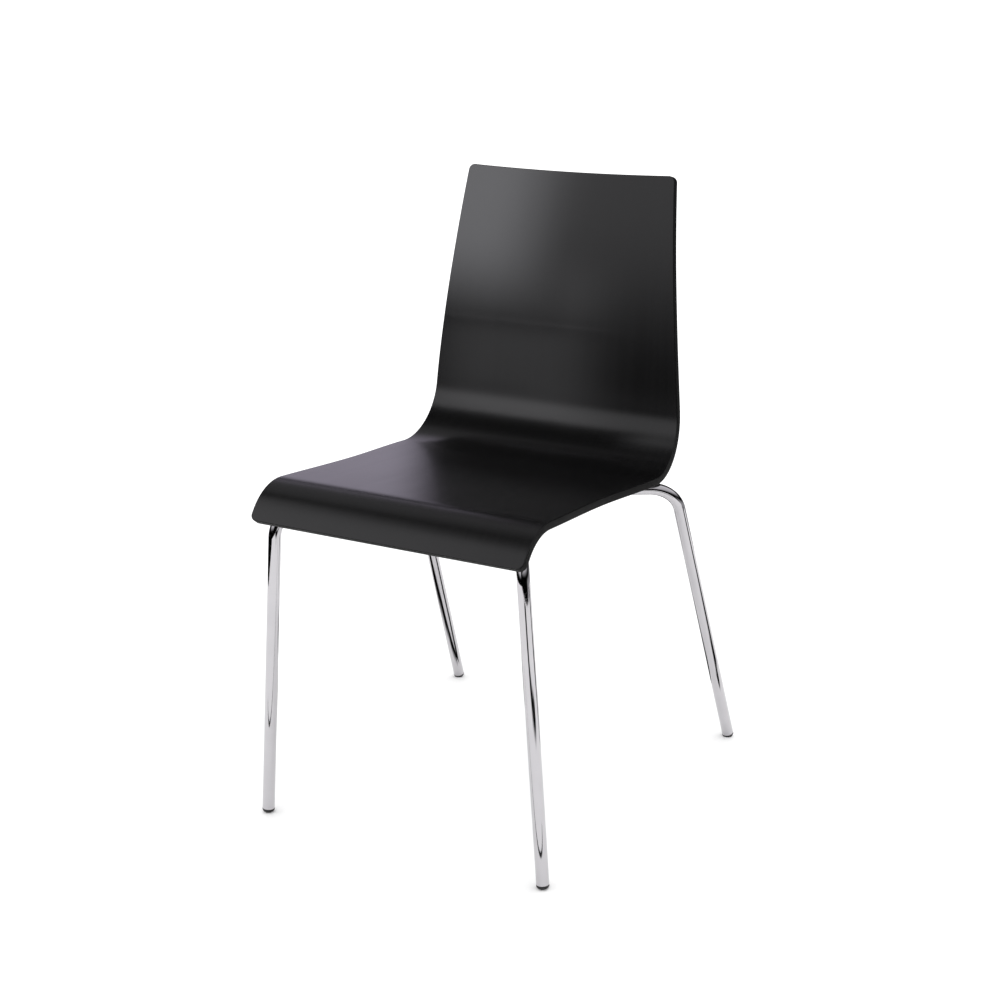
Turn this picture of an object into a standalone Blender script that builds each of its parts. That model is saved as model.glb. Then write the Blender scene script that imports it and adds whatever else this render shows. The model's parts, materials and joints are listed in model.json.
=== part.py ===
"""Stacking chair: a moulded plywood shell on a chromed steel tube frame.

The chair faces -Y, +X is to the right of a person who looks at its front, and +Z is up.
The origin is on the floor, at the centre of the chair's footprint. Units are metres.
"""
import math

import bmesh
import bpy
from mathutils import Matrix, Vector

GAP = 0.0003                     # clearance between two pieces that touch

# Shell: the sitting surface runs from the lip under the knees to the top of the back.
SHELL_T = 0.010                  # plywood thickness
LIP_START = (-0.2814, 0.4092)    # y, z of the lip's lower edge
LIP_LENGTH = 0.0155
LIP_HEADING = 53.5               # degrees from +Y towards +Z
LIP_RADIUS = 0.0668              # waterfall bend at the front
SEAT_LENGTH = 0.2885
SEAT_SLOPE = 4.0                 # the seat drops towards the back
LUMBAR_RADIUS = 0.0712           # bend between seat and back
BACK_LENGTH = 0.3068
BACK_FOOT_HEADING = 87.8
BACK_TOP_HEADING = 76.8          # the back leans away in a slow curve
HALF_WIDTHS = {                  # half the shell's width at places along it
    "lip": 0.1910,
    "seat_front": 0.1906,
    "seat_middle": 0.1865,
    "seat_rear": 0.1926,
    "back_foot": 0.1850,
    "back_third": 0.1750,
    "back_two_thirds": 0.1640,
    "top": 0.1535,
}
CORNER_R = 0.009                 # rounding of the shell's four corners
EDGE_R = 0.0015                  # rounding of the plywood's edges
TOP_DIP = 0.003                  # the top edge is cut lower in its middle
TOP_DIP_REACH = 0.10             # how far down the back the dip's effect fades

# Frame: each hoop is one tube, from a foot up to a knee, in to the middle and out again.
TUBE_R = 0.008
TUBE_BORE_R = 0.0065
KNEE_R = 0.042                   # centreline radius of the bend above each leg
APEX_R = 0.060                   # centreline radius of the bend at the middle
FRONT_FOOT = (0.2030, -0.2477)   # x, y where a leg's axis meets the floor
FRONT_KNEE = (0.1729, -0.2509, 0.424)
REAR_FOOT = (0.2239, 0.2742)
REAR_KNEE = (0.2040, 0.1064, 0.408)
WELD_LINE_Y = -0.0170            # the hoops are welded side by side along this line
APEX_Z = 0.408
APEX_GAP = 0.0006                # between the two tubes at the weld line
CENTRE_PLATE = (0.066, 0.036, 0.003)
PLATE_CORNER_R = 0.006

# Fixings: tab, spacer, washer, screw and insert, stacked along the shell's normal.
FRONT_TAB_FROM_KNEE = 0.116      # distance along the arm
REAR_TAB_FROM_KNEE = 0.106
SCREW_OFFSET = 0.020             # the screw's distance from the arm's axis
TAB_T = 0.003
TAB_LENGTH = 0.034               # along the arm
TAB_TAIL = 0.012                 # past the screw hole
TAB_CORNER_R = 0.005
TAB_PAST_ARM = 0.001             # a front tab ends so much short of its arm's far flank
SCREW_R = 0.00285
SCREW_CHAMFER = 0.0007
CLEARANCE_HOLE_R = 0.0033
SPACER_R = 0.0125
SPACER_T = 0.0051
SPACER_CHAMFER = 0.0006
WASHER_R = 0.0065
WASHER_T = 0.0012
HEAD_R = 0.0053
HEAD_T = 0.0033
SOCKET_R = 0.0023                # hexagonal socket, centre to corner
SOCKET_DEPTH = 0.0020
SOCKET_RIM = 0.0006              # flat round the socket
HEAD_FLANK = 0.0008
INSERT_R = 0.0045
INSERT_BORE_R = 0.00315
INSERT_LENGTH = 0.0070
INSERT_HOLE_DEPTH = 0.0077
CUTTER_STARTS = -0.002           # the hole cutter starts outside the plywood
SCREW_IN_INSERT = 0.0062         # how far the screw's tip passes the shell's underside

# Feet and stacking bumpers.
GLIDE_SHOWS = 0.006              # from the floor to the tube's end, along the leg
GLIDE_DOME_BASE = 0.0040         # the dome starts at this height
GLIDE_DOME = 0.0046              # the floor cuts off what is below it
GLIDE_STEM_R = 0.0062
GLIDE_CORE_R = 0.0055
GLIDE_STEM_LENGTH = 0.018
GLIDE_RIBS = (0.004, 0.011)      # along the stem
BUMPER_R = 0.0108
BUMPER_LENGTH = 0.024
BUMPER_OPENING = 120.0           # degrees left open on top, towards the shell
BUMPER_FROM_KNEE = 0.150

TUBE_SIDES = 16
ROUND_SIDES = 16


def clear_scene():
    for obj in list(bpy.data.objects):
        bpy.data.objects.remove(obj, do_unlink=True)


def material(name, colour, roughness, metallic=0.0):
    mat = bpy.data.materials.new(name)
    mat.use_nodes = True
    shader = mat.node_tree.nodes["Principled BSDF"]
    shader.inputs["Base Color"].default_value = (*colour, 1.0)
    shader.inputs["Roughness"].default_value = roughness
    shader.inputs["Metallic"].default_value = metallic
    return mat


def finish_object(name, bm, mat, sharp_angle=40.0):
    """Turn a bmesh into a named object with consistent normals and smooth round faces."""
    bmesh.ops.recalc_face_normals(bm, faces=bm.faces)
    mesh = bpy.data.meshes.new(name)
    bm.to_mesh(mesh)
    bm.free()
    mesh.shade_smooth()
    mesh.set_sharp_from_angle(angle=math.radians(sharp_angle))
    mesh.materials.append(mat)
    obj = bpy.data.objects.new(name, mesh)
    bpy.context.collection.objects.link(obj)
    return obj


# ---------------------------------------------------------------- shell

class ShellProfile:
    """The sitting surface seen from the side, measured by the distance s along it."""

    def __init__(self):
        slope = -SEAT_SLOPE
        lip_arc = LIP_RADIUS * math.radians(LIP_HEADING - slope)
        lumbar_arc = LUMBAR_RADIUS * math.radians(BACK_FOOT_HEADING - slope)
        self.pieces = [
            (LIP_LENGTH, LIP_HEADING, LIP_HEADING, 2),
            (lip_arc, LIP_HEADING, slope, 12),
            (SEAT_LENGTH, slope, slope, 10),
            (lumbar_arc, slope, BACK_FOOT_HEADING, 18),
            (BACK_LENGTH, BACK_FOOT_HEADING, BACK_TOP_HEADING, 12),
        ]
        self.starts = [0.0]
        self.points = [LIP_START]
        for length, first, last, _ in self.pieces:
            self.points.append(self.advance(self.points[-1], length, first, last, length))
            self.starts.append(self.starts[-1] + length)
        self.length = self.starts[-1]
        back = self.starts[4]
        self.width_at = [
            (0.0, HALF_WIDTHS["lip"]),
            (self.starts[2], HALF_WIDTHS["seat_front"]),
            ((self.starts[2] + self.starts[3]) / 2, HALF_WIDTHS["seat_middle"]),
            (self.starts[3], HALF_WIDTHS["seat_rear"]),
            (back, HALF_WIDTHS["back_foot"]),
            (back + BACK_LENGTH / 3, HALF_WIDTHS["back_third"]),
            (back + BACK_LENGTH * 2 / 3, HALF_WIDTHS["back_two_thirds"]),
            (self.length, HALF_WIDTHS["top"]),
        ]

    @staticmethod
    def advance(point, length, first, last, along):
        """Walk a distance along a piece whose heading turns evenly from first to last."""
        y, z = point
        turn = math.radians(last - first) / length
        start = math.radians(first)
        if abs(turn) < 1e-9:
            return y + along * math.cos(start), z + along * math.sin(start)
        end = start + turn * along
        return (y + (math.sin(end) - math.sin(start)) / turn,
                z - (math.cos(end) - math.cos(start)) / turn)

    def place(self, u, s, depth):
        """The point at u across, s along and depth below the sitting surface."""
        index = 0
        while index < len(self.pieces) - 1 and s > self.starts[index + 1]:
            index += 1
        length, first, last, _ = self.pieces[index]
        along = s - self.starts[index]
        y, z = self.advance(self.points[index], length, first, last, along)
        heading = math.radians(first + (last - first) * along / length)
        return Vector((u, y + depth * math.sin(heading), z - depth * math.cos(heading)))

    def half_width(self, s):
        """Smooth curve through the stated half-widths."""
        knots = self.width_at
        index = 0
        while index < len(knots) - 2 and s > knots[index + 1][0]:
            index += 1
        (s0, w0), (s1, w1) = knots[index], knots[index + 1]
        before = knots[max(index - 1, 0)]
        after = knots[min(index + 2, len(knots) - 1)]
        slope0 = (w1 - before[1]) / (s1 - before[0])
        slope1 = (after[1] - w0) / (after[0] - s0)
        step = s1 - s0
        t = (s - s0) / step
        return ((2 * t**3 - 3 * t**2 + 1) * w0 + (t**3 - 2 * t**2 + t) * step * slope0
                + (3 * t**2 - 2 * t**3) * w1 + (t**3 - t**2) * step * slope1)

    def rows(self):
        """Distances along the shell of the mesh rows, closer together in the bends."""
        low, high = CORNER_R, self.length - CORNER_R
        places = [low]
        for start, (length, _, _, count) in zip(self.starts, self.pieces):
            for step in range(count):
                s = start + length * step / count
                if low + 0.003 < s < high - 0.003:
                    places.append(s)
        places.append(high)
        return places

    def seat_underside(self, x, y):
        """The point of the seat's flat underside above or below (x, y)."""
        slope = math.radians(SEAT_SLOPE)
        corner = self.place(0.0, self.starts[2], SHELL_T)
        return Vector((x, y, corner.z - (y - corner.y) * math.tan(slope)))


def make_shell(profile, mat, insert_cutter):
    """Model the shell as a flat blank with rounded corners and edges, bent to its profile."""
    columns = 8
    rows = profile.rows()
    last = len(rows) - 1
    inner = [[((2 * c / columns - 1) * (profile.half_width(s) - CORNER_R), s)
              for c in range(columns + 1)] for s in rows]

    # Outline of the inner grid, each place with its outward directions (a fan at a corner).
    loop = [(0, c, [-90]) for c in range(1, columns)]
    loop += [(0, columns, [-90, -67.5, -45, -22.5, 0])]
    loop += [(r, columns, [0]) for r in range(1, last)]
    loop += [(last, columns, [0, 22.5, 45, 67.5, 90])]
    loop += [(last, c, [90]) for c in range(columns - 1, 0, -1)]
    loop += [(last, 0, [90, 112.5, 135, 157.5, 180])]
    loop += [(r, 0, [180]) for r in range(last - 1, 0, -1)]
    loop += [(0, 0, [180, 202.5, 225, 247.5, 270])]

    # Cross-section of the edge: distance out from the inner grid, and depth.
    flat = CORNER_R - EDGE_R
    section = [(flat + EDGE_R * math.sin(a), EDGE_R * (1 - math.cos(a)))
               for a in (math.radians(d) for d in (0, 30, 60, 90))]
    section += [(out, SHELL_T - depth) for out, depth in reversed(section)]

    bm = bmesh.new()

    def vertex(u, s, depth):
        edge = profile.half_width(min(max(s, 0.0), profile.length))
        fade = max(0.0, 1 - (profile.length - s) / TOP_DIP_REACH)
        dip = TOP_DIP * fade**2 * (1 - min(1.0, (u / edge)**2))
        return bm.verts.new(profile.place(u, s - dip, depth))

    grids = [[[vertex(u, s, depth) for u, s in row] for row in inner]
             for depth in (0.0, SHELL_T)]
    for grid in grids:
        for r in range(last):
            for c in range(columns):
                bm.faces.new((grid[r][c], grid[r][c + 1], grid[r + 1][c + 1], grid[r + 1][c]))

    rim = []
    for out, depth in section:
        ring = []
        for r, c, directions in loop:
            u, s = inner[r][c]
            for direction in directions:
                angle = math.radians(direction)
                ring.append(vertex(u + out * math.cos(angle), s + out * math.sin(angle), depth))
        rim.append(ring)
    owners = [(r, c) for r, c, directions in loop for _ in directions]
    count = len(owners)
    for k in range(count):
        after = (k + 1) % count
        for ring, grid in ((rim[0], grids[0]), (rim[-1], grids[1])):
            corners = [grid[owners[k][0]][owners[k][1]], ring[k], ring[after]]
            if owners[k] != owners[after]:
                corners.append(grid[owners[after][0]][owners[after][1]])
            bm.faces.new(corners)
        for low, high in zip(rim, rim[1:]):
            bm.faces.new((low[k], high[k], high[after], low[after]))

    shell = finish_object("seat_shell", bm, mat)
    cut = shell.modifiers.new("insert_holes", "BOOLEAN")
    cut.operation = "DIFFERENCE"
    cut.solver = "EXACT"
    cut.object = insert_cutter
    return shell


# ---------------------------------------------------------------- tube frame

def rounded_path(corners, radii, steps):
    """Centreline through the corners, each inner corner rounded with its own radius."""
    path = [corners[0]]
    for index, (radius, count) in enumerate(zip(radii, steps), start=1):
        corner = corners[index]
        before = (corners[index - 1] - corner).normalized()
        after = (corners[index + 1] - corner).normalized()
        half = before.angle(after) / 2
        centre = corner + (before + after).normalized() * (radius / math.sin(half))
        start = corner + before * (radius / math.tan(half)) - centre
        axis = start.cross(corner + after * (radius / math.tan(half)) - centre).normalized()
        for step in range(count + 1):
            turn = Matrix.Rotation((math.pi - 2 * half) * step / count, 3, axis)
            path.append(centre + turn @ start)
    path.append(corners[-1])
    return path


def swept_tube(name, path, mat):
    """A hollow tube along a path, open at both ends."""
    bm = bmesh.new()
    tangents = []
    for index, point in enumerate(path):
        before = path[max(index - 1, 0)]
        after = path[min(index + 1, len(path) - 1)]
        tangents.append(((point - before).normalized() + (after - point).normalized()).normalized())
    side = tangents[0].orthogonal().normalized()
    rings = []
    for index, point in enumerate(path):
        if index:
            turn = tangents[index - 1].rotation_difference(tangents[index])
            side = turn @ side
        across = tangents[index].cross(side).normalized()
        rings.append([[bm.verts.new(point + radius * (math.cos(a) * side + math.sin(a) * across))
                       for a in (2 * math.pi * k / TUBE_SIDES for k in range(TUBE_SIDES))]
                      for radius in (TUBE_R, TUBE_BORE_R)])
    for here, there in zip(rings, rings[1:]):
        for wall in (0, 1):
            for k in range(TUBE_SIDES):
                after = (k + 1) % TUBE_SIDES
                bm.faces.new((here[wall][k], here[wall][after], there[wall][after], there[wall][k]))
    for outer, bore in (rings[0], rings[-1]):
        for k in range(TUBE_SIDES):
            after = (k + 1) % TUBE_SIDES
            bm.faces.new((outer[k], outer[after], bore[after], bore[k]))
    return finish_object(name, bm, mat)


class Hoop:
    """One bent tube: two legs, two arms under the seat and the bend in the middle."""

    def __init__(self, foot, knee, apex_y):
        self.foot = Vector((*foot, 0.0))
        self.knee = Vector(knee)
        self.up = (self.knee - self.foot).normalized()
        # In plan, each arm is a tangent from its knee to the circle of the middle bend.
        towards = math.copysign(1.0, knee[1] - apex_y)
        centre = Vector((0.0, apex_y + towards * APEX_R))
        to_centre = centre - Vector(knee[:2])
        lean = math.asin(APEX_R / to_centre.length)
        angle = math.atan2(to_centre.y, to_centre.x) + towards * lean
        vertex_y = knee[1] - knee[0] * math.tan(angle)
        rise = (APEX_Z - knee[2]) / (apex_y - knee[1])
        self.vertex = Vector((0.0, vertex_y, knee[2] + (vertex_y - knee[1]) * rise))
        self.arm = (self.vertex - self.knee).normalized()

    def path(self):
        mirrored = [Vector((-p.x, p.y, p.z)) for p in (self.knee, self.tube_end())]
        corners = [self.tube_end(), self.knee, self.vertex] + mirrored
        return rounded_path(corners, (KNEE_R, APEX_R, KNEE_R), (9, 12, 9))

    def tube_end(self):
        return self.foot + self.up * GLIDE_SHOWS

    def on_arm(self, distance):
        return self.knee + self.arm * distance


def make_centre_plate(mat):
    """Flat plate welded across both hoops where they meet."""
    length, width, thickness = CENTRE_PLATE
    bm = bmesh.new()
    outline = rounded_rectangle(-length / 2, length / 2, -width / 2, width / 2, PLATE_CORNER_R)
    fill_and_extrude(bm, [outline], thickness)
    base = Vector((0.0, WELD_LINE_Y, APEX_Z + TUBE_R + 2 * GAP))
    bmesh.ops.translate(bm, verts=bm.verts, vec=base)
    return finish_object("centre_weld_plate", bm, mat)


# ---------------------------------------------------------------- plates and turned pieces

def rounded_rectangle(x0, x1, y0, y1, radius, steps=4):
    points = []
    for cx, cy, first in ((x1, y1, 0), (x0, y1, 90), (x0, y0, 180), (x1, y0, 270)):
        centre_x = cx - math.copysign(radius, cx - (x0 + x1) / 2)
        centre_y = cy - math.copysign(radius, cy - (y0 + y1) / 2)
        for step in range(steps + 1):
            a = math.radians(first + 90 * step / steps)
            points.append((centre_x + radius * math.cos(a), centre_y + radius * math.sin(a)))
    return points


def circle(radius, sides=ROUND_SIDES):
    return [(radius * math.cos(2 * math.pi * k / sides), radius * math.sin(2 * math.pi * k / sides))
            for k in range(sides)]


def fill_and_extrude(bm, outlines, thickness):
    """Fill flat outlines, the later ones as holes, and give the sheet a thickness."""
    edges = []
    for outline in outlines:
        verts = [bm.verts.new((x, y, 0.0)) for x, y in outline]
        for k, vert in enumerate(verts):
            edges.append(bm.edges.new((vert, verts[(k + 1) % len(verts)])))
    filled = bmesh.ops.triangle_fill(bm, edges=edges, use_beauty=True, use_dissolve=False)
    faces = [g for g in filled["geom"] if isinstance(g, bmesh.types.BMFace)]
    top = bmesh.ops.extrude_face_region(bm, geom=faces)
    moved = [g for g in top["geom"] if isinstance(g, bmesh.types.BMVert)]
    bmesh.ops.translate(bm, verts=moved, vec=(0.0, 0.0, thickness))


def turned(outline, sides=ROUND_SIDES):
    """Turn a closed (radius, z) outline about the Z axis. Points on the axis close it."""
    bm = bmesh.new()
    rings = []
    for radius, z in outline:
        if radius == 0.0:
            rings.append([bm.verts.new((0.0, 0.0, z))] * sides)
        else:
            rings.append([bm.verts.new((x, y, z)) for x, y in circle(radius, sides)])
    pairs = list(zip(rings, rings[1:]))
    if outline[0][0] != 0.0:
        pairs.append((rings[-1], rings[0]))
    for here, there in pairs:
        for k in range(sides):
            after = (k + 1) % sides
            corners = [here[k], here[after], there[after], there[k]]
            unique = [v for n, v in enumerate(corners) if v not in corners[:n]]
            bm.faces.new(unique)
    return bm


def placed(bm, matrix):
    bmesh.ops.transform(bm, matrix=matrix, verts=bm.verts)
    return bm


# ---------------------------------------------------------------- fixings

class Fixing:
    """One of the four places where the frame is screwed to the shell.

    Its frame has its origin on the shell's underside and +Z up into the plywood, and
    its +X points at the arm that carries the tab.
    """

    def __init__(self, place, profile, hoop, mirror, distance, reach):
        self.place = place
        self.reach = reach
        point = hoop.on_arm(distance)
        plan = Vector((hoop.arm.x, hoop.arm.y)).normalized()
        across = Vector((-plan.y, plan.x))
        x = (point.x + across.x * SCREW_OFFSET) * mirror
        y = point.y + across.y * SCREW_OFFSET
        to_arm = math.atan2(-across.y, -across.x * mirror)
        self.matrix = (Matrix.Translation(profile.seat_underside(x, y))
                       @ Matrix.Rotation(-math.radians(SEAT_SLOPE), 4, "X")
                       @ Matrix.Rotation(to_arm, 4, "Z"))

    def at(self, height):
        return self.matrix @ Matrix.Translation((0.0, 0.0, height))


def make_insert_cutter(fixings, mat):
    """One guide object with a blind hole's volume at each fixing."""
    bm = bmesh.new()
    for fixing in fixings:
        radius = INSERT_R + GAP
        hole = turned([(0.0, CUTTER_STARTS), (radius, CUTTER_STARTS),
                       (radius, INSERT_HOLE_DEPTH), (0.0, INSERT_HOLE_DEPTH)])
        placed(hole, fixing.matrix)
        temporary = bpy.data.meshes.new("hole")
        hole.to_mesh(temporary)
        hole.free()
        bm.from_mesh(temporary)
        bpy.data.meshes.remove(temporary)
    cutter = finish_object("insert_hole_cutter", bm, mat)
    cutter.hide_render = True
    cutter.display_type = "WIRE"
    return cutter


def make_fixing(fixing, mats):
    """Spacer, tab, washer, screw and insert of one fixing, from the shell downwards."""
    insert = turned([(INSERT_BORE_R, GAP), (INSERT_R, GAP), (INSERT_R, INSERT_LENGTH),
                     (INSERT_BORE_R, INSERT_LENGTH)])
    finish_object("threaded_insert_" + fixing.place, placed(insert, fixing.matrix), mats["zinc"])

    spacer_top = -GAP
    spacer_low = spacer_top - SPACER_T
    chamfer = SPACER_CHAMFER
    spacer = turned([(CLEARANCE_HOLE_R, spacer_low), (SPACER_R - chamfer, spacer_low),
                     (SPACER_R, spacer_low + chamfer), (SPACER_R, spacer_top - chamfer),
                     (SPACER_R - chamfer, spacer_top), (CLEARANCE_HOLE_R, spacer_top)], 24)
    finish_object("spacer_disc_" + fixing.place, placed(spacer, fixing.matrix), mats["rubber"])

    tab_low = spacer_low - GAP - TAB_T
    tab = bmesh.new()
    outline = rounded_rectangle(-TAB_TAIL, fixing.reach, -TAB_LENGTH / 2, TAB_LENGTH / 2,
                                TAB_CORNER_R)
    fill_and_extrude(tab, [outline, circle(CLEARANCE_HOLE_R)], TAB_T)
    finish_object("mounting_tab_" + fixing.place, placed(tab, fixing.at(tab_low)), mats["chrome"])

    washer_low = tab_low - GAP - WASHER_T
    washer = turned([(CLEARANCE_HOLE_R, 0.0), (WASHER_R, 0.0), (WASHER_R, WASHER_T),
                     (CLEARANCE_HOLE_R, WASHER_T)])
    finish_object("washer_" + fixing.place, placed(washer, fixing.at(washer_low)), mats["zinc"])

    screw = make_screw(washer_low - GAP)
    finish_object("seat_screw_" + fixing.place, placed(screw, fixing.matrix), mats["zinc"])


def make_screw(head_top):
    """Button-head screw, head down, with a hexagonal socket in the head."""
    head_low = head_top - HEAD_T
    tip = SCREW_IN_INSERT
    chamfer = SCREW_CHAMFER
    rim = SOCKET_R + SOCKET_RIM
    dome = HEAD_T - HEAD_FLANK
    outline = [(0.0, tip), (SCREW_R - chamfer, tip), (SCREW_R, tip - chamfer),
               (SCREW_R, head_top), (HEAD_R, head_top)]
    for a in (math.radians(30 * k) for k in range(3)):
        outline.append((rim + (HEAD_R - rim) * math.cos(a),
                        head_top - HEAD_FLANK - dome * math.sin(a)))
    outline += [(rim, head_low), (SOCKET_R, head_low + GAP),
                (SOCKET_R, head_low + SOCKET_DEPTH), (0.0, head_low + SOCKET_DEPTH)]
    sides = 12
    bm = turned(outline, sides)
    # Every second place round the socket moves in to the middle of a flat of the hexagon.
    for vert in bm.verts:
        if abs(vert.co.to_2d().length - SOCKET_R) < 1e-6:
            place = round(math.atan2(vert.co.y, vert.co.x) / (2 * math.pi / sides))
            if place % 2:
                vert.co.xy *= math.cos(math.pi / 6)
    return bm


# ---------------------------------------------------------------- feet and bumpers

def make_glide(name, hoop, mirror, mat):
    """Plastic foot: a ribbed stem inside the tube and a dome, cut flat at the floor."""
    face = GLIDE_SHOWS - GAP
    outline = [(0.0, GLIDE_DOME_BASE - GLIDE_DOME)]
    outline += [(TUBE_R * math.sin(a), GLIDE_DOME_BASE - GLIDE_DOME * math.cos(a))
                for a in (math.radians(18 * k) for k in range(1, 6))]
    outline += [(TUBE_R, face), (GLIDE_CORE_R, face)]
    for base in (face + rib for rib in GLIDE_RIBS):
        outline += [(GLIDE_CORE_R, base), (GLIDE_STEM_R, base + 0.0008),
                    (GLIDE_STEM_R, base + 0.0018), (GLIDE_CORE_R, base + 0.0026)]
    outline += [(GLIDE_CORE_R - 0.0010, face + GLIDE_STEM_LENGTH), (0.0, face + GLIDE_STEM_LENGTH)]
    bm = turned(outline)
    foot = Vector((hoop.foot.x * mirror, hoop.foot.y, 0.0))
    up = Vector((hoop.up.x * mirror, hoop.up.y, hoop.up.z))
    placed(bm, Matrix.Translation(foot) @ up.to_track_quat("Z", "Y").to_matrix().to_4x4())
    geometry = list(bm.verts) + list(bm.edges) + list(bm.faces)
    cut = bmesh.ops.bisect_plane(bm, geom=geometry, plane_co=(0, 0, 0), plane_no=(0, 0, -1),
                                 clear_outer=True)
    rim = [g for g in cut["geom_cut"] if isinstance(g, bmesh.types.BMEdge)]
    bmesh.ops.contextual_create(bm, geom=rim)
    for vert in bm.verts:
        if abs(vert.co.z) < 1e-6:
            vert.co.z = 0.0
    return finish_object(name, bm, mat)


def make_bumper(name, hoop, mirror, mat):
    """C-shaped clip pushed onto an arm from below; it meets the chair underneath in a stack."""
    steps = 14
    half = math.radians(180 - BUMPER_OPENING / 2)
    angles = [-math.pi / 2 - half + 2 * half * k / steps for k in range(steps + 1)]
    bore = TUBE_R + GAP
    outline = [(BUMPER_R * math.cos(a), BUMPER_R * math.sin(a)) for a in angles]
    outline += [(bore * math.cos(a), bore * math.sin(a)) for a in reversed(angles)]
    bm = bmesh.new()
    fill_and_extrude(bm, [outline], BUMPER_LENGTH)
    arm = Vector((hoop.arm.x * mirror, hoop.arm.y, hoop.arm.z))
    up = Vector((0.0, 0.0, 1.0))
    across = up.cross(arm).normalized()
    up = arm.cross(across)
    start = hoop.on_arm(BUMPER_FROM_KNEE - BUMPER_LENGTH / 2)
    start.x *= mirror
    turn = Matrix((across, up, -arm)).transposed().to_4x4()
    end = start + arm * BUMPER_LENGTH
    placed(bm, Matrix.Translation(end) @ turn)
    return finish_object(name, bm, mat)


# ---------------------------------------------------------------- assembly

def main():
    clear_scene()
    mats = {
        "plywood": material("black_stained_ash", (0.012, 0.012, 0.013), 0.38),
        "chrome": material("chrome", (0.82, 0.82, 0.84), 0.06, 1.0),
        "zinc": material("zinc_plated_steel", (0.62, 0.62, 0.60), 0.32, 1.0),
        "plastic": material("black_plastic", (0.018, 0.018, 0.019), 0.45),
        "rubber": material("black_rubber", (0.022, 0.022, 0.022), 0.75),
    }
    profile = ShellProfile()
    half_gap = TUBE_R + APEX_GAP / 2
    front = Hoop(FRONT_FOOT, FRONT_KNEE, WELD_LINE_Y - half_gap)
    rear = Hoop(REAR_FOOT, REAR_KNEE, WELD_LINE_Y + half_gap)
    swept_tube("front_leg_hoop", front.path(), mats["chrome"])
    swept_tube("rear_leg_hoop", rear.path(), mats["chrome"])
    make_centre_plate(mats["chrome"])

    # A front tab crosses over its arm; a rear tab stops at the side of its arm.
    over_arm = SCREW_OFFSET + TUBE_R - TAB_PAST_ARM
    beside_arm = SCREW_OFFSET - TUBE_R - GAP
    fixings = []
    for side, mirror in (("left", -1), ("right", 1)):
        fixings.append(Fixing("front_" + side, profile, front, mirror,
                              FRONT_TAB_FROM_KNEE, over_arm))
        fixings.append(Fixing("rear_" + side, profile, rear, mirror,
                              REAR_TAB_FROM_KNEE, beside_arm))
    cutter = make_insert_cutter(fixings, mats["zinc"])
    make_shell(profile, mats["plywood"], cutter)
    for fixing in fixings:
        make_fixing(fixing, mats)

    for end, hoop in (("front", front), ("rear", rear)):
        for side, mirror in (("left", -1), ("right", 1)):
            make_glide("foot_glide_%s_%s" % (end, side), hoop, mirror, mats["plastic"])
            make_bumper("stacking_bumper_%s_%s" % (end, side), hoop, mirror, mats["rubber"])


main()
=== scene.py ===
"""Stacking chair: the finished look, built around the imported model.

A black-stained plywood shell on a chromed tube frame. The chair faces -Y, +X is to the
right of a person who looks at its front, +Z is up, and all lengths are in metres.
"""

import json
import math

import bmesh
import bpy
from mathutils import Matrix, Vector


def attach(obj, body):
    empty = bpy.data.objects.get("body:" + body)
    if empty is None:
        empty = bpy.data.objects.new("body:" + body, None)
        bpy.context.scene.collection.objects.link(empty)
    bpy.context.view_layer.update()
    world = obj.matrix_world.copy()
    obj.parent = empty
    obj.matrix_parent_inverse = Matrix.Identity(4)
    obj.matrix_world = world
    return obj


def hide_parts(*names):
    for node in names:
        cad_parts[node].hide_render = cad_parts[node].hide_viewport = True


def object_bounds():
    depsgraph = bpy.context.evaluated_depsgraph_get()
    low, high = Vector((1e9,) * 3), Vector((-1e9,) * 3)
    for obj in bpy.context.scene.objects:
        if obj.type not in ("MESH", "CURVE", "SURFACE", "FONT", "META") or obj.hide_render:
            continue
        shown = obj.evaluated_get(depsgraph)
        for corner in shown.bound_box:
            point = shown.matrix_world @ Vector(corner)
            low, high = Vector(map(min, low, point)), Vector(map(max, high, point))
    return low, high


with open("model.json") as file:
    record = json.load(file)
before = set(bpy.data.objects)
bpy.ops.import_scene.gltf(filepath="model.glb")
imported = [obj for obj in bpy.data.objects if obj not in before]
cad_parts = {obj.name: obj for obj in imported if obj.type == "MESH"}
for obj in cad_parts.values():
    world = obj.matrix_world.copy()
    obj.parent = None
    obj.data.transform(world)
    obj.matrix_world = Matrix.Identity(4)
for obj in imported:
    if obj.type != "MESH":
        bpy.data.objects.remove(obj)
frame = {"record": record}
cad_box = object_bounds()

BODY = "root"
GAP = 0.0003                     # clearance between two pieces that touch
SIDES = (("left", -1), ("right", 1))

# Shell, bent to a profile that runs from the lip under the knees to the top of the back.
SHELL_T = 0.010
LIP_LENGTH = 0.0155
LIP_HEADING = 53.5               # degrees from +Y towards +Z
LIP_RADIUS = 0.0668
SEAT_LENGTH = 0.2885
SEAT_SLOPE = 4.0
LUMBAR_RADIUS = 0.0712
BACK_LENGTH = 0.3068
BACK_FOOT_HEADING = 87.8
BACK_TOP_HEADING = 76.8
LIP_START = (-0.2814, 0.4092)    # y, z of the lip's lower edge
HALF_WIDTHS = (                  # at the lip, at the seat's front, middle and rear, at the foot
    0.1910, 0.1906, 0.1865, 0.1926,    # of the back, one and two thirds up it, and at its top
    0.1850, 0.1750, 0.1640, 0.1535)
CORNER_R = 0.009
EDGE_R = 0.0010
TOP_DIP = 0.003
TOP_DIP_REACH = 0.10
PLIES = 9
SHELL_COLUMNS = 26
SHELL_ROW_SPACING = 0.0065
CORNER_STEPS = 8

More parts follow.
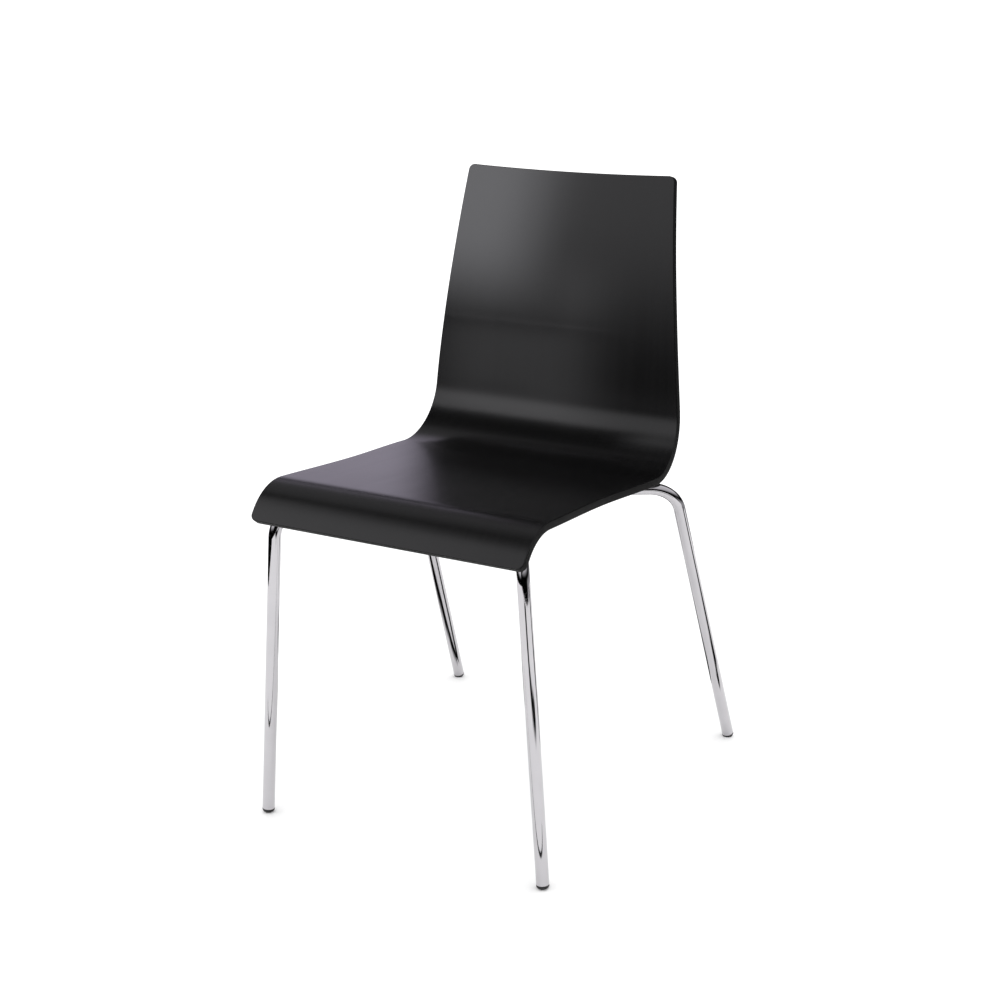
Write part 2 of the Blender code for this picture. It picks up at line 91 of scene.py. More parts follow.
# Frame
TUBE_R = 0.008
TUBE_BORE_R = 0.0065
KNEE_R = 0.042
APEX_R = 0.060
FRONT_KNEE = (0.1729, -0.2509, 0.424)
REAR_KNEE = (0.2040, 0.1064, 0.408)
WELD_LINE_Y = -0.0170
APEX_Z = 0.408
APEX_GAP = 0.0006
BEND_STEPS = (26, 30, 26)        # knee, middle, knee
LONGEST_STEP = 0.045             # along a straight stretch of tube
CENTRE_PLATE = (0.066, 0.036, 0.003)
PLATE_CORNER_R = 0.006

# Fixings, stacked along the shell's normal
FRONT_TAB_FROM_KNEE = 0.116
REAR_TAB_FROM_KNEE = 0.106
SCREW_OFFSET = 0.020
TAB_T = 0.003
TAB_LENGTH = 0.034
TAB_TAIL = 0.012
TAB_CORNER_R = 0.005
TAB_PAST_ARM = 0.001             # a front tab ends so much short of its arm's far flank
SCREW_R = 0.00285
SCREW_CHAMFER = 0.0007
THREAD_PITCH = 0.001
THREAD_DEPTH = 0.0003
THREAD_STOPS = 0.002             # the shank is plain so far above the head
CLEARANCE_HOLE_R = 0.0033
SPACER_R = 0.0125
SPACER_T = 0.0051
SPACER_CHAMFER = 0.0006
WASHER_R = 0.0065
WASHER_T = 0.0012
WASHER_EDGE_R = 0.0003
HEAD_R = 0.0053
HEAD_T = 0.0033
SOCKET_R = 0.0023
SOCKET_DEPTH = 0.0020
SOCKET_RIM = 0.0006              # flat round the socket
HEAD_FLANK = 0.0009
HEAD_CHAMFER = 0.0003
INSERT_R = 0.0045
INSERT_BORE_R = 0.00315
INSERT_LENGTH = 0.0070
INSERT_HOLE_DEPTH = 0.0077
INSERT_RIDGES = 8
INSERT_GROOVE = 0.0004
CUTTER_STARTS = -0.002           # the hole cutter starts outside the plywood
SCREW_IN_INSERT = 0.0062

# Feet and stacking bumpers
GLIDE_SHOWS = 0.006
GLIDE_DOME_BASE = 0.0040         # the dome starts at this height
GLIDE_DOME = 0.0046              # the floor cuts off what is below it
GLIDE_CORE_R = 0.0055
GLIDE_STEM_R = 0.0062
GLIDE_STEM_LENGTH = 0.018
GLIDE_RIM_R = 0.0004
GLIDE_RIBS = (0.004, 0.011)      # along the stem
BUMPER_R = 0.0108
BUMPER_LENGTH = 0.024
BUMPER_OPENING = 120.0
BUMPER_FROM_KNEE = 0.150

PLATE_BEVEL = 0.0005
BUMPER_BEVEL = 0.0007

WELD_R = 0.0017
HOOP_WELD_R = 0.0030
HOOP_WELD_HALF = 0.019           # half the length of the bead that joins the hoops
WELD_IN_GROOVE = 0.62            # part of the tube's radius from its axis to the bead
WELD_TAIL = 0.006                # a corner's bead runs on so far along the plate
WELD_RIPPLE = 0.0015             # pitch of the ripples along a weld
WELD_RIPPLE_DEPTH = 0.16         # part of the bead's radius
WELD_SIDES = 12

# Camera, aimed at a point near the middle of the chair
CAMERA_AZIMUTH = 30.10           # degrees, from straight in front towards +X
CAMERA_ELEVATION = 15.53
CAMERA_ROLL = -0.063
CAMERA_DISTANCE = 2.3526
CAMERA_AIM = (-0.0244, -0.0013, 0.0414)   # from the middle of the chair's box
CAMERA_LENS = 64.88              # mm, on a 36 mm sensor
CAMERA_SHIFT = (0.0188, -0.0403)

# Studio
WHITE_LEVEL = 1.36
FLOOR_R = 1.42
FLOOR_MIDDLE = (0.25, -0.10, 0.0)
# Painted shadows: black strips on the floor, seen only in reflections, which stand in for the
# chair's cast shadows and draw the dark lines down the chrome.
PAINTED_SHADOW_Z = 0.0006
PAINTED_SHADOW_CORE = 0.30                 # part of a strip's width that is fully black
PAINTED_SHADOW_SPREAD = 1.6                # a strip is so much wider than stated, for its soft sides
PAINTED_SHADOWS = (                        # x and y on the floor, and the strip's width there
    ((0.90, -0.25, 0.14), (0.84, -0.45, 0.22), (0.74, -0.68, 0.25), (0.66, -0.92, 0.27),
     (0.68, -1.07, 0.36), (0.80, -1.35, 0.46)),
    ((0.62, -0.88, 0.12), (0.57, -0.79, 0.09), (0.51, -0.70, 0.03)),
    ((0.31, 0.205, 0.03), (0.42, 0.25, 0.08), (0.52, 0.34, 0.18), (0.68, 0.42, 0.24),
     (1.02, 0.46, 0.30), (1.42, 0.66, 0.46)),
    ((-0.185, 0.25, 0.03), (-0.20, 0.20, 0.055), (-0.235, 0.15, 0.11), (-0.30, 0.10, 0.19),
     (-0.42, 0.10, 0.24)),
    ((-0.185, 0.255, 0.03), (-0.12, 0.265, 0.055), (-0.04, 0.27, 0.11), (0.10, 0.28, 0.16)),
    ((-0.36, -0.577, 0.018), (0.42, -0.28, 0.018)),
)
COOL_WHITE = (0.98, 0.97, 1.0)
BLUE_WHITE = (0.95, 0.95, 1.0)
VIOLET_WHITE = (1.0, 0.92, 1.12)
SOFTBOXES = (   # name, x and z each from and to with softness, y, facing, radiance, tint
    ("high", (-0.36, -0.14, 0.07), (0.658, 0.97, 0.08), 0.0, 1, 2.5, BLUE_WHITE),
    ("low", (-0.27, -0.02, 0.07), (0.445, 0.69, 0.05), 0.0, 1, 0.67, COOL_WHITE),
    ("backdrop", (-2.60, -0.725, 0.07), (-0.40, 1.50, 0.50), 1.0, -1, 0.78, VIOLET_WHITE),
)
BARN_DOOR = (   # x and y each from and to with softness, and z
    (-0.50, 0.045, 0.03), (0.0, 0.115, 0.02), 0.595)
PANELS = (   # azimuths and elevations each from and to with softness, radiance, tint
    ((-64.0, -8.0, 4.0), (3.5, 37.0, 8.0), 0.98, COOL_WHITE),
    ((-84.0, -33.0, 6.0), (34.0, 54.0, 8.0), 1.0, COOL_WHITE),
    ((-141.0, -98.0, 10.0), (32.0, 62.0, 8.0), 0.28, COOL_WHITE),
    ((15.0, 140.0, 18.0), (18.0, 84.0, 12.0), 0.75, COOL_WHITE),
    ((125.0, 160.0, 14.0), (20.0, 75.0, 12.0), 0.50, COOL_WHITE),
    ((95.0, 220.0, 12.0), (-60.0, -2.0, 6.0), 0.45, COOL_WHITE),
    ((-220.0, -125.0, 12.0), (-60.0, -2.0, 6.0), 0.45, COOL_WHITE),
    ((-220.0, 220.0, 1.0), (48.0, 91.0, 10.0), 0.08, COOL_WHITE),
)


# ---- node helpers

def add(tree, kind, inputs=None, **settings):
    """Add a shader node; an input is a value or another node's output."""
    made = tree.nodes.new("ShaderNode" + kind)
    for key, value in settings.items():
        setattr(made, key, value)
    for key, value in (inputs or {}).items():
        if isinstance(value, bpy.types.NodeSocket):
            tree.links.new(value, made.inputs[key])
        else:
            made.inputs[key].default_value = value
    return made


def new_material(name, **constants):
    """A material with a Principled BSDF, whose unvarying inputs are set on the shader."""
    mat = bpy.data.materials.new(name)
    mat.use_nodes = True
    shader = mat.node_tree.nodes["Principled BSDF"]
    for key, value in constants.items():
        shader.inputs[key.replace("_", " ")].default_value = value
    return mat, mat.node_tree, shader


def stretched(tree, uv_map, across, along):
    """Surface coordinates in metres, times so many features per metre each way."""
    uv = add(tree, "UVMap", uv_map=uv_map)
    return add(tree, "VectorMath", {0: uv.outputs["UV"], 1: (across, along, 1.0)},
               operation="MULTIPLY").outputs[0]


def in_metres(tree):
    return add(tree, "TexCoord").outputs["Object"]


def noise(tree, vector, scale=1.0, detail=2.0, roughness=0.5, distortion=0.0):
    return add(tree, "TexNoise", {"Vector": vector, "Scale": scale, "Detail": detail,
                                  "Roughness": roughness, "Distortion": distortion}).outputs["Fac"]


def ranged(tree, value, low, high, to_low=0.0, to_high=1.0, smooth=False):
    """Map a value from one range to another, clamped to it."""
    return add(tree, "MapRange", {"Value": value, "From Min": low, "From Max": high,
                                  "To Min": to_low, "To Max": to_high},
               interpolation_type="SMOOTHSTEP" if smooth else "LINEAR").outputs["Result"]


def math_node(tree, operation, first, second=0.0):
    return add(tree, "Math", {0: first, 1: second}, operation=operation).outputs[0]


def inside(tree, value, low, high, soft):
    """1 between low and high, 0 outside them, with a soft step at each."""
    rise = ranged(tree, value, low - soft, low + soft, smooth=True)
    fall = ranged(tree, value, high - soft, high + soft, 1.0, 0.0, smooth=True)
    return math_node(tree, "MULTIPLY", rise, fall)


def blend_colours(tree, factor, first, second):
    return add(tree, "Mix", {"Factor": factor, "A": (*first, 1.0), "B": (*second, 1.0)},
               data_type="RGBA").outputs["Result"]


def drive(tree, shader, colour, rough, normal):
    """Link what varies over a surface to its shader."""
    for key, value in (("Base Color", colour), ("Roughness", rough), ("Normal", normal)):
        tree.links.new(value, shader.inputs[key])


def bump(tree, height, depth, below=None):
    """Bump of a height from 0 to 1 that stands for a depth in metres."""
    inputs = {"Height": height, "Strength": 1.0, "Distance": depth}
    if below is not None:
        inputs["Normal"] = below
    return add(tree, "Bump", inputs).outputs["Normal"]


# ---- materials

def veneer_material():
    """Black-stained ash veneer under satin lacquer; its grain runs along the shell."""
    mat, tree, shader = new_material("black_stained_veneer", Specular_IOR_Level=0.5)
    wander = noise(tree, stretched(tree, "grain", 14.0, 2.2), detail=2.0)
    uv = stretched(tree, "grain", 1.0, 1.0)
    offset = add(tree, "CombineXYZ", {"X": math_node(tree, "MULTIPLY", wander, 0.035)})
    bent = add(tree, "VectorMath", {0: uv, 1: offset.outputs[0]}, operation="ADD")

    def grain(across, along, **kinds):
        scaled = add(tree, "VectorMath", {0: bent.outputs[0], 1: (across, along, 1.0)},
                     operation="MULTIPLY").outputs[0]
        return noise(tree, scaled, **kinds)

    rings = ranged(tree, grain(230.0, 2.5, detail=1.0), 0.42, 0.62, smooth=True)
    fibres = grain(1500.0, 45.0, detail=3.0, roughness=0.6)
    dashes = ranged(tree, grain(2200.0, 120.0, detail=1.0), 0.60, 0.72, smooth=True)
    pores = math_node(tree, "MULTIPLY", dashes, ranged(tree, rings, 0.0, 1.0, 0.25, 1.0))
    tone = math_node(tree, "ADD", math_node(tree, "MULTIPLY", fibres, 0.6),
                     math_node(tree, "MULTIPLY", rings, 0.4))
    colour = blend_colours(tree, ranged(tree, tone, 0.2, 0.8), (0.0012, 0.0012, 0.0013),
                           (0.0022, 0.0021, 0.0023))

    cloud = noise(tree, stretched(tree, "grain", 9.0, 6.0), detail=3.0)
    rough = math_node(tree, "ADD", ranged(tree, cloud, 0.3, 0.7, 0.225, 0.245),
                      math_node(tree, "MULTIPLY", pores, 0.02))
    rough = math_node(tree, "ADD", rough, ranged(tree, rings, 0.0, 1.0, 0.0, 0.008))

    surface = bump(tree, noise(tree, stretched(tree, "grain", 28.0, 9.0), detail=1.0), 0.00012)
    surface = bump(tree, fibres, 0.000005, surface)
    surface = bump(tree, math_node(tree, "SUBTRACT", 1.0, pores), 0.000005, surface)
    drive(tree, shader, colour, rough, surface)
    return mat


def ply_edge_material():
    """The sawn edge: thin plies, stained black, sealed but not polished."""
    mat, tree, shader = new_material("black_stained_ply_edge", Specular_IOR_Level=0.10)
    uv = add(tree, "UVMap", uv_map="edge")
    depth = add(tree, "SeparateXYZ", {"Vector": uv.outputs["UV"]}).outputs["Y"]
    layer = math_node(tree, "MULTIPLY", depth, PLIES / SHELL_T)
    within = math_node(tree, "FRACT", layer)
    middle = math_node(tree, "ABSOLUTE", math_node(tree, "SUBTRACT", within, 0.5))
    glue = ranged(tree, middle, 0.42, 0.5, smooth=True)
    odd = math_node(tree, "MODULO", math_node(tree, "FLOOR", layer), 2.0)
    long_fibres = noise(tree, stretched(tree, "edge", 60.0, 3000.0), detail=2.0)
    end_fibres = noise(tree, stretched(tree, "edge", 2400.0, 1100.0), detail=2.0)
    fibres = add(tree, "Mix", {"Factor": odd, "A": long_fibres, "B": end_fibres},
                 data_type="FLOAT").outputs["Result"]
    shade = math_node(tree, "SUBTRACT", fibres, math_node(tree, "MULTIPLY", glue, 0.3))
    colour = blend_colours(tree, ranged(tree, shade, 0.2, 0.75), (0.0010, 0.0010, 0.0010),
                           (0.0026, 0.0025, 0.0025))
    surface = bump(tree, fibres, 0.00003)
    surface = bump(tree, math_node(tree, "SUBTRACT", 1.0, glue), 0.00005, surface)
    drive(tree, shader, colour, ranged(tree, fibres, 0.3, 0.7, 0.48, 0.62), surface)
    return mat


def chrome_material():
    """Bright chrome on polished tube, with faint polishing lines round it and a thin haze."""
    mat, tree, shader = new_material("polished_chrome", Metallic=1.0)
    lines = noise(tree, stretched(tree, "surface", 90.0, 2600.0), detail=2.0)
    haze = noise(tree, in_metres(tree), scale=26.0, detail=3.0)
    colour = blend_colours(tree, ranged(tree, haze, 0.3, 0.7), (0.500, 0.489, 0.508),
                           (0.530, 0.518, 0.538))
    rough = math_node(tree, "ADD", ranged(tree, haze, 0.35, 0.75, 0.035, 0.065),
                      ranged(tree, lines, 0.5, 0.8, 0.0, 0.035))
    surface = bump(tree, noise(tree, stretched(tree, "surface", 40.0, 22.0), detail=1.0), 0.00002)
    drive(tree, shader, colour, rough, bump(tree, lines, 0.0000012, surface))
    return mat


def weld_material():
    """Weld metal under the chrome: the same plating on a rougher bead."""
    mat, tree, shader = new_material("chromed_weld", Metallic=1.0)
    grain = noise(tree, in_metres(tree), scale=900.0, detail=3.0)
    colour = blend_colours(tree, ranged(tree, grain, 0.3, 0.7), (0.50, 0.49, 0.48),
                           (0.66, 0.66, 0.67))
    drive(tree, shader, colour, ranged(tree, grain, 0.3, 0.7, 0.12, 0.30),
          bump(tree, grain, 0.00006))
    return mat


def zinc_material():
    """Zinc-plated steel: fine satin grain, a faint blue and yellow cast in patches."""
    mat, tree, shader = new_material("zinc_plated_steel", Metallic=1.0)
    patches = noise(tree, in_metres(tree), scale=260.0, detail=2.0, distortion=0.6)
    grain = noise(tree, in_metres(tree), scale=5200.0, detail=2.0)
    colour = blend_colours(tree, ranged(tree, patches, 0.35, 0.65), (0.50, 0.51, 0.53),
                           (0.60, 0.57, 0.49))
    rough = math_node(tree, "ADD", ranged(tree, patches, 0.3, 0.7, 0.24, 0.34),
                      ranged(tree, grain, 0.4, 0.8, 0.0, 0.12))
    drive(tree, shader, colour, rough, bump(tree, grain, 0.000012))
    return mat


def plastic_material():
    """Moulded black polyethylene, scuffed pale where it slides on the floor."""
    mat, tree, shader = new_material("moulded_black_plastic", Specular_IOR_Level=0.35)
    place = in_metres(tree)
    height = add(tree, "SeparateXYZ", {"Vector": place}).outputs["Z"]
    texture = noise(tree, place, scale=2600.0, detail=2.0)
    scratches = add(tree, "VectorMath", {0: place, 1: (1900.0, 500.0, 900.0)},
                    operation="MULTIPLY").outputs[0]
    worn = math_node(tree, "MULTIPLY", ranged(tree, height, 0.0, 0.0012, 1.0, 0.0),
                     ranged(tree, noise(tree, scratches, detail=2.0), 0.4, 0.6))
    colour = blend_colours(tree, worn, (0.0085, 0.0082, 0.0088), (0.045, 0.044, 0.042))
    rough = math_node(tree, "ADD", ranged(tree, texture, 0.3, 0.7, 0.34, 0.46),
                      math_node(tree, "MULTIPLY", worn, 0.25))
    drive(tree, shader, colour, rough, bump(tree, texture, 0.000018))
    return mat


def rubber_material():
    """Matt black rubber with a faint bloom."""
    mat, tree, shader = new_material("matt_black_rubber", Specular_IOR_Level=0.35)
    bloom = noise(tree, in_metres(tree), scale=120.0, detail=3.0)
    texture = noise(tree, in_metres(tree), scale=3400.0, detail=2.0)
    colour = blend_colours(tree, ranged(tree, bloom, 0.35, 0.75), (0.016, 0.016, 0.016),
                           (0.034, 0.034, 0.033))
    drive(tree, shader, colour, ranged(tree, bloom, 0.3, 0.7, 0.62, 0.80),
          bump(tree, texture, 0.00003))
    return mat


# ---- mesh helpers

def new_object(name, bm, mats=()):
    """Turn a bmesh into an object of the scene."""
    mesh = bpy.data.meshes.new(name)
    bm.to_mesh(mesh)
    bm.free()
    for mat in mats:
        mesh.materials.append(mat)
    obj = bpy.data.objects.new(name, mesh)
    bpy.context.collection.objects.link(obj)
    return obj


def make_piece(name, bm, mats, replaced=(), sharp_angle=40.0):
    """Turn a bmesh into a piece of the chair that stands for CAD nodes."""
    bmesh.ops.recalc_face_normals(bm, faces=bm.faces)
    obj = new_object(name, bm, mats)
    obj.data.shade_smooth()
    obj.data.set_sharp_from_angle(angle=math.radians(sharp_angle))
    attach(obj, BODY)
    if replaced:
        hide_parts(*replaced)
    return obj


def bevelled(obj, width, segments=3):
    """Round the sharp edges of a plate or clip."""
    round_edges = obj.modifiers.new("rounded_edges", "BEVEL")
    round_edges.width = width
    round_edges.segments = segments
    round_edges.limit_method = "ANGLE"
    round_edges.angle_limit = math.radians(50)
    round_edges.harden_normals = True
    return obj


def loft(bm, rings, lengths, girth):
    """Skin closed rings of vertices, and lay the surface map out in metres."""
    layer = bm.loops.layers.uv.get("surface")
    count = len(rings[0])
    for (here, low), (there, high) in zip(zip(rings, lengths), zip(rings[1:], lengths[1:])):
        for k in range(count):
            after = (k + 1) % count
            corners = [(here[k], k, low), (here[after], k + 1, low),
                       (there[after], k + 1, high), (there[k], k, high)]
            unique = [c for n, c in enumerate(corners) if c[0] not in [d[0] for d in corners[:n]]]
            face = bm.faces.new([c[0] for c in unique])
            for loop, (_, step, length) in zip(face.loops, unique):
                loop[layer].uv = (girth * step / count, length)


def surface_bmesh():
    bm = bmesh.new()
    bm.loops.layers.uv.new("surface")
    return bm


def turned(outline, sides=36):
    """Turn a closed (radius, z) outline about the Z axis; a third value 6 makes a hexagon."""
    bm = surface_bmesh()
    rings = []
    for radius, z, *shape in outline:
        if radius == 0.0:
            rings.append([bm.verts.new((0.0, 0.0, z))] * sides)
            continue
        ring = []
        for k in range(sides):
            angle = 2 * math.pi * k / sides
            out = radius
            if shape:
                out *= math.cos(math.pi / 6) / math.cos(angle % (math.pi / 3) - math.pi / 6)
            ring.append(bm.verts.new((out * math.cos(angle), out * math.sin(angle), z)))
        rings.append(ring)
    if outline[0][0] != 0.0:
        rings.append(rings[0])
        outline = outline + [outline[0]]
    lengths = [0.0]
    for (r0, z0, *_), (r1, z1, *_) in zip(outline, outline[1:]):
        lengths.append(lengths[-1] + math.hypot(r1 - r0, z1 - z0))
    loft(bm, rings, lengths, 2 * math.pi * max(p[0] for p in outline))
    return bm


def placed(bm, matrix):
    bmesh.ops.transform(bm, matrix=matrix, verts=bm.verts)
    return bm


def arc(centre, radius, first, last, steps):
    """Points of an arc in a plane, with angles in degrees."""
    return [(centre[0] + radius * math.cos(a), centre[1] + radius * math.sin(a))
            for a in (math.radians(first + (last - first) * k / steps) for k in range(steps + 1))]


def rounded_rectangle(x0, x1, y0, y1, radius, steps=8):
    points = []
    for cx, cy, first in ((x1 - radius, y1 - radius, 0), (x0 + radius, y1 - radius, 90),
                          (x0 + radius, y0 + radius, 180), (x1 - radius, y0 + radius, 270)):
        points += arc((cx, cy), radius, first, first + 90, steps)
    return points


def fill_and_extrude(outlines, thickness):
    """Fill flat outlines, the later ones as holes, and give the sheet a thickness."""
    bm = surface_bmesh()
    edges = []
    for outline in outlines:
        verts = [bm.verts.new((x, y, 0.0)) for x, y in outline]
        for k, vert in enumerate(verts):
            edges.append(bm.edges.new((vert, verts[(k + 1) % len(verts)])))
    filled = bmesh.ops.triangle_fill(bm, edges=edges, use_beauty=True, use_dissolve=False)
    faces = [g for g in filled["geom"] if isinstance(g, bmesh.types.BMFace)]
    top = bmesh.ops.extrude_face_region(bm, geom=faces)
    moved = [g for g in top["geom"] if isinstance(g, bmesh.types.BMVert)]
    bmesh.ops.translate(bm, verts=moved, vec=(0.0, 0.0, thickness))
    layer = bm.loops.layers.uv.get("surface")
    for face in bm.faces:
        for loop in face.loops:
            loop[layer].uv = (loop.vert.co.x + loop.vert.co.z, loop.vert.co.y)
    return bm


def sweep(path, radius_at, sides, closed_ends=False, bm=None):
    """Skin a round section along a path, without letting it twist."""
    bm = bm or surface_bmesh()
    tangents = []
    for index, point in enumerate(path):
        before = path[max(index - 1, 0)]
        after = path[min(index + 1, len(path) - 1)]
        tangents.append(((point - before).normalized() + (after - point).normalized()).normalized())
    side = tangents[0].orthogonal().normalized()
    rings = []
    lengths = [0.0]
    for index, point in enumerate(path):
        if index:
            side = tangents[index - 1].rotation_difference(tangents[index]) @ side
            lengths.append(lengths[-1] + (point - path[index - 1]).length)
        across = tangents[index].cross(side).normalized()
        radius = radius_at(index)
        if closed_ends and index in (0, len(path) - 1):
            rings.append([bm.verts.new(point)] * sides)
        else:
            rings.append([bm.verts.new(point + radius * (math.cos(a) * side + math.sin(a) * across))
                          for a in (2 * math.pi * k / sides for k in range(sides))])
    loft(bm, rings, lengths, 2 * math.pi * radius_at(len(path) // 2))
    return bm, rings


# ---- shell

class ShellProfile:
    """The sitting surface seen from the side, measured by the distance s along it."""

    def __init__(self):
        slope = -SEAT_SLOPE
        lip_arc = LIP_RADIUS * math.radians(LIP_HEADING - slope)
        lumbar_arc = LUMBAR_RADIUS * math.radians(BACK_FOOT_HEADING - slope)
        self.pieces = [
            (LIP_LENGTH, LIP_HEADING, LIP_HEADING),
            (lip_arc, LIP_HEADING, slope),
            (SEAT_LENGTH, slope, slope),
            (lumbar_arc, slope, BACK_FOOT_HEADING),
            (BACK_LENGTH, BACK_FOOT_HEADING, BACK_TOP_HEADING),
        ]
        self.starts = [0.0]
        self.points = [LIP_START]
        for length, first, last in self.pieces:
            self.points.append(self.advance(self.points[-1], length, first, last, length))
            self.starts.append(self.starts[-1] + length)
        self.length = self.starts[-1]
        seat, lumbar, back = self.starts[2:5]
        places = (0.0, seat, (seat + lumbar) / 2, lumbar, back, back + BACK_LENGTH / 3,
                  back + BACK_LENGTH * 2 / 3, self.length)
        self.width_at = list(zip(places, HALF_WIDTHS))

    @staticmethod
    def advance(point, length, first, last, along):
        """Walk a distance along a piece whose heading turns evenly from first to last."""
        y, z = point
        turn = math.radians(last - first) / length
        start = math.radians(first)
        if abs(turn) < 1e-9:
            return y + along * math.cos(start), z + along * math.sin(start)
        end = start + turn * along
        return (y + (math.sin(end) - math.sin(start)) / turn,
                z - (math.cos(end) - math.cos(start)) / turn)

    def place(self, u, s, depth):
        """The point at u across, s along and depth below the sitting surface."""
        index = 0
        while index < len(self.pieces) - 1 and s > self.starts[index + 1]:
            index += 1
        length, first, last = self.pieces[index]
        along = s - self.starts[index]
        y, z = self.advance(self.points[index], length, first, last, along)
        heading = math.radians(first + (last - first) * along / length)
        return Vector((u, y + depth * math.sin(heading), z - depth * math.cos(heading)))

    def half_width(self, s):
        """Smooth curve through the stated half-widths."""
        knots = self.width_at
        index = 0
        while index < len(knots) - 2 and s > knots[index + 1][0]:
            index += 1
        (s0, w0), (s1, w1) = knots[index], knots[index + 1]
        before = knots[max(index - 1, 0)]
        after = knots[min(index + 2, len(knots) - 1)]
        slope0 = (w1 - before[1]) / (s1 - before[0])
        slope1 = (after[1] - w0) / (after[0] - s0)
        step = s1 - s0
        t = (s - s0) / step
        return ((2 * t**3 - 3 * t**2 + 1) * w0 + (t**3 - 2 * t**2 + t) * step * slope0
                + (3 * t**2 - 2 * t**3) * w1 + (t**3 - t**2) * step * slope1)

    def rows(self, spacing):
        """Distances along the shell of the mesh rows."""
        low, high = CORNER_R, self.length - CORNER_R
        count = round((high - low) / spacing)
        return [low + (high - low) * k / count for k in range(count + 1)]

    def seat_underside(self, x, y):
        slope = math.radians(SEAT_SLOPE)
        corner = self.place(0.0, self.starts[2], SHELL_T)
        return Vector((x, y, corner.z - (y - corner.y) * math.tan(slope)))


def make_shell(profile, fixings, face_mat, edge_mat):
    """Model the shell as a flat blank with rounded corners and edges, bent to its profile."""
    columns = SHELL_COLUMNS
    rows = profile.rows(SHELL_ROW_SPACING)
    last = len(rows) - 1
    inner = [[((2 * c / columns - 1) * (profile.half_width(s) - CORNER_R), s)
              for c in range(columns + 1)] for s in rows]

    def corner(first):
        return [first + 90.0 * k / CORNER_STEPS for k in range(CORNER_STEPS + 1)]

    # Outline of the inner grid, each place with its outward directions (a fan at a corner).
    loop = [(0, c, [-90.0]) for c in range(1, columns)]
    loop += [(0, columns, corner(-90.0))]
    loop += [(r, columns, [0.0]) for r in range(1, last)]
    loop += [(last, columns, corner(0.0))]
    loop += [(last, c, [90.0]) for c in range(columns - 1, 0, -1)]
    loop += [(last, 0, corner(90.0))]
    loop += [(r, 0, [180.0]) for r in range(last - 1, 0, -1)]
    loop += [(0, 0, corner(180.0))]

    # Cross-section of the edge: distance out from the inner grid, and depth.
    flat = CORNER_R - EDGE_R
    section = [(flat * part, 0.0) for part in (0.5, 0.9)]
    section += [(flat + EDGE_R * math.sin(a), EDGE_R * (1 - math.cos(a)))
                for a in (math.radians(15 * k) for k in range(7))]
    section += [(out, SHELL_T - depth) for out, depth in reversed(section)]
    first_edge_band = 5
    edge_bands = len(section) - 1 - 2 * first_edge_band

    bm = bmesh.new()
    grain = bm.loops.layers.uv.new("grain")
    edge = bm.loops.layers.uv.new("edge")
    facts = {}

    def vertex(u, s, depth, around=0.0):
        width = profile.half_width(min(max(s, 0.0), profile.length))
        fade = max(0.0, 1 - (profile.length - s) / TOP_DIP_REACH)
        dip = TOP_DIP * fade**2 * (1 - min(1.0, (u / width)**2))
        made = bm.verts.new(profile.place(u, s - dip, depth))
        facts[made] = (u, s, around, depth)
        return made

    def face(corners, material_index=0):
        made = bm.faces.new(corners)
        made.material_index = material_index
        for loop_corner in made.loops:
            u, s, around, depth = facts[loop_corner.vert]
            loop_corner[grain].uv = (u, s)
            loop_corner[edge].uv = (around, depth)

    grids = [[[vertex(u, s, depth) for u, s in row] for row in inner]
             for depth in (0.0, SHELL_T)]
    for grid in grids:
        for r in range(last):
            for c in range(columns):
                face((grid[r][c], grid[r][c + 1], grid[r + 1][c + 1], grid[r + 1][c]))

    rim = []
    for out, depth in section:
        ring = []
        around = 0.0
        before = None
        for r, c, directions in loop:
            u, s = inner[r][c]
            for direction in directions:
                angle = math.radians(direction)
                here = (u + out * math.cos(angle), s + out * math.sin(angle))
                if before:
                    around += math.dist(here, before)
                before = here
                ring.append(vertex(*here, depth, around))
        rim.append(ring)
    owners = [(r, c) for r, c, directions in loop for _ in directions]
    count = len(owners)
    for k in range(count):
        after = (k + 1) % count
        for ring, grid in ((rim[0], grids[0]), (rim[-1], grids[1])):
            corners = [grid[owners[k][0]][owners[k][1]], ring[k], ring[after]]
            if owners[k] != owners[after]:
                corners.append(grid[owners[after][0]][owners[after][1]])
            face(corners)
        for band, (low, high) in enumerate(zip(rim, rim[1:])):
            on_edge = first_edge_band <= band < first_edge_band + edge_bands
            face((low[k], high[k], high[after], low[after]), int(on_edge))

    shell = make_piece("plywood_shell", bm, [face_mat, edge_mat], ["seat_shell"], 60.0)
    cut_insert_holes(shell, fixings)
    return shell


def cut_insert_holes(shell, fixings):
    """Blind holes for the threaded inserts, in the shell's underside."""
    bm = bmesh.new()
    for fixing in fixings:
        low, high = CUTTER_STARTS, INSERT_HOLE_DEPTH
        radius = INSERT_R + GAP
        hole = placed(turned([(0.0, low), (radius, low), (radius, high), (0.0, high)], 24),
                      fixing.matrix)
        bmesh.ops.recalc_face_normals(hole, faces=hole.faces)
        temporary = bpy.data.meshes.new("hole")
        hole.to_mesh(temporary)
        hole.free()
        bm.from_mesh(temporary)
        bpy.data.meshes.remove(temporary)
    cutter = new_object("insert_holes", bm)
    cut = shell.modifiers.new("insert_holes", "BOOLEAN")
    cut.operation = "DIFFERENCE"
    cut.solver = "EXACT"
    cut.object = cutter
    depsgraph = bpy.context.evaluated_depsgraph_get()
    result = bpy.data.meshes.new_from_object(shell.evaluated_get(depsgraph), depsgraph=depsgraph)
    shell.modifiers.clear()
    shell.data = result
    bpy.data.objects.remove(cutter)


# ---- tube frame

